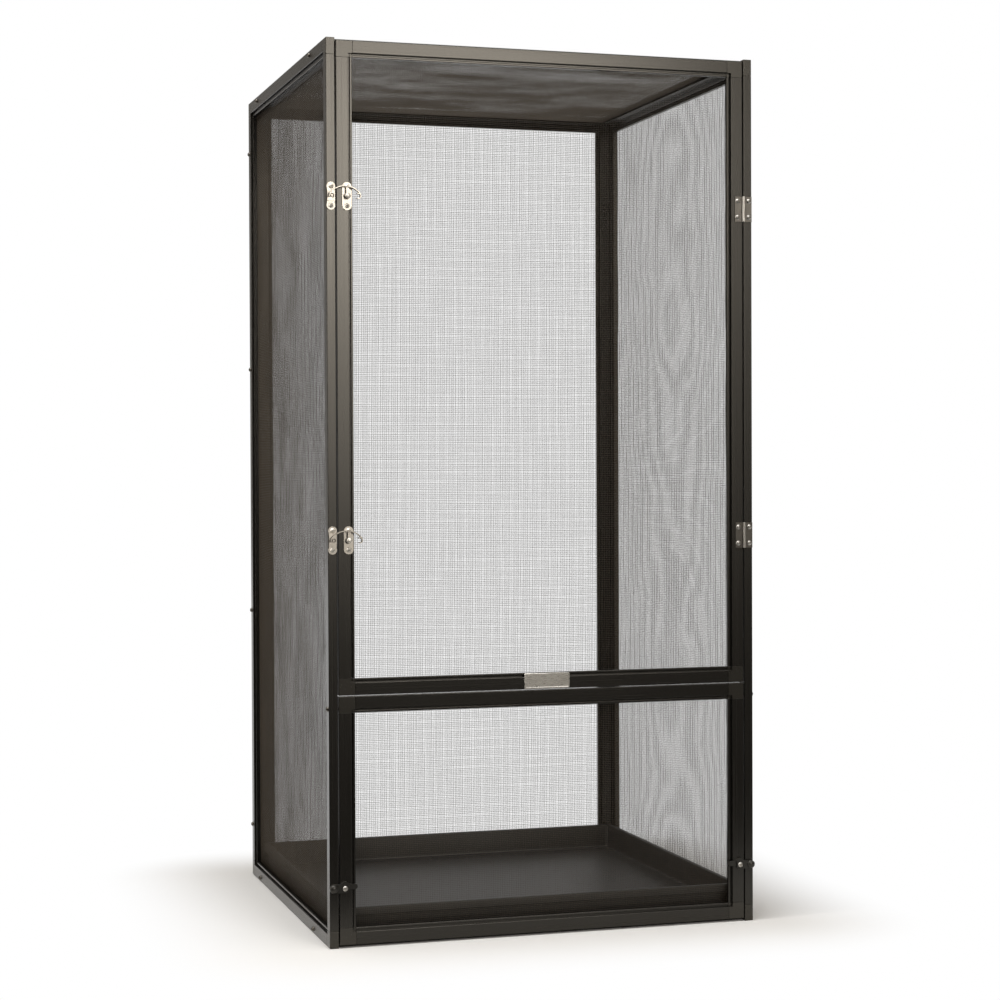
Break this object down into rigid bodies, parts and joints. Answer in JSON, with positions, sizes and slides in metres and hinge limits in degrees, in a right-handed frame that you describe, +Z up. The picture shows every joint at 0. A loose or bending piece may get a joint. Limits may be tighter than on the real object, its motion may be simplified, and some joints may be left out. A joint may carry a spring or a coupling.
{
  "type": "mesh reptile cage",
  "caption": "Tall free-standing mesh cage of screwed screen panels, with a hinged upper door, a flap door below it, hook latches, turn clips and a litter tray that slides out.",
  "frame": {"origin": "on the floor, under the middle of the whole box, latches and screw heads included", "axes": "+Z up, -Y out of the doors, +X to the right of someone who faces the doors"},
  "size_m": [0.6058, 0.609, 1.2],
  "materials": {
    "bar": "satin charcoal powder coat on extruded aluminium",
    "corner": "moulded charcoal plastic, fine texture",
    "mesh": "black coated fine woven wire",
    "spline": "black rubber cord",
    "black_screw": "black zinc",
    "hinge_steel": "dull zinc plate",
    "latch_nickel": "bright nickel plate",
    "clip_plastic": "black moulded nylon",
    "tray_plastic": "black moulded plastic",
    "plate_metal": "satin metal, blank"
  },
  "bodies": {
    "cage": {"left_panel_stiles": "bar", "left_panel_rails": "bar", "left_panel_corners": "corner", "left_panel_mesh": "mesh", "left_panel_spline": "spline", "right_panel_stiles": "bar", "right_panel_rails": "bar", "right_panel_corners": "corner", "right_panel_mesh": "mesh", "right_panel_spline": "spline", "back_panel_stiles": "bar", "back_panel_rails": "bar", "back_panel_corners": "corner", "back_panel_mesh": "mesh", "back_panel_spline": "spline", "top_panel_stiles": "bar", "top_panel_rails": "bar", "top_panel_corners": "corner", "top_panel_mesh": "mesh", "top_panel_spline": "spline", "bottom_panel_stiles": "bar", "bottom_panel_rails": "bar", "bottom_panel_corners": "corner", "bottom_panel_mesh": "mesh", "bottom_panel_spline": "spline", "left_frame_screws": "black_screw", "right_frame_screws": "black_screw", "door_pivot_screws": "black_screw", "hinge_post_leaves": "hinge_steel", "hinge_pins": "hinge_steel", "hinge_post_screws": "hinge_steel", "latch_keepers": "latch_nickel", "latch_keeper_screws": "latch_nickel"},
    "upper_door": {"upper_door_stiles": "bar", "upper_door_rails": "bar", "upper_door_corners": "corner", "upper_door_mesh": "mesh", "upper_door_spline": "spline", "hinge_door_leaves": "hinge_steel", "hinge_door_screws": "hinge_steel", "latch_bases": "latch_nickel", "latch_base_screws": "latch_nickel", "blank_plate": "plate_metal"},
    "lower_door": {"lower_door_stiles": "bar", "lower_door_rails": "bar", "lower_door_corners": "corner", "lower_door_mesh": "mesh", "lower_door_spline": "spline", "turn_clip_screws": "hinge_steel"},
    "upper_latch": {"upper_latch_arm": "latch_nickel"},
    "lower_latch": {"lower_latch_arm": "latch_nickel"},
    "left_clip": {"left_turn_clip": "clip_plastic"},
    "right_clip": {"right_turn_clip": "clip_plastic"},
    "tray": {"litter_tray": "tray_plastic"}
  },
  "joints": [
    {"name": "upper_door_swing", "type": "hinge", "parent": "cage", "child": "upper_door", "pos_m": [0.28725, -0.29785, 0.765], "axis": [0, 0, 1], "range_deg": [0, 150]},
    {"name": "upper_latch_turn", "type": "hinge", "parent": "upper_door", "child": "upper_latch", "pos_m": [-0.2725, -0.29545, 0.992], "axis": [0, 1, 0], "range_deg": [0, 80]},
    {"name": "lower_latch_turn", "type": "hinge", "parent": "upper_door", "child": "lower_latch", "pos_m": [-0.2725, -0.29545, 0.5391], "axis": [0, 1, 0], "range_deg": [0, 80]},
    {"name": "lower_door_swing", "type": "hinge", "parent": "cage", "child": "lower_door", "pos_m": [0, -0.28945, 0.3164], "axis": [-1, 0, 0], "range_deg": [0, 110]},
    {"name": "left_clip_turn", "type": "hinge", "parent": "lower_door", "child": "left_clip", "pos_m": [-0.2798, -0.29545, 0.0795], "axis": [0, 1, 0], "range_deg": [0, 90]},
    {"name": "right_clip_turn", "type": "hinge", "parent": "lower_door", "child": "right_clip", "pos_m": [0.2798, -0.29545, 0.0795], "axis": [0, -1, 0], "range_deg": [0, 90]},
    {"name": "tray_slide", "type": "slide", "parent": "cage", "child": "tray", "axis": [0, -1, 0], "range_m": [0, 0.48]}
  ],
  "couplings": [
    {"joint": "tray_slide", "follows": "lower_door_swing", "m_per_rad": 0.25}
  ]
}
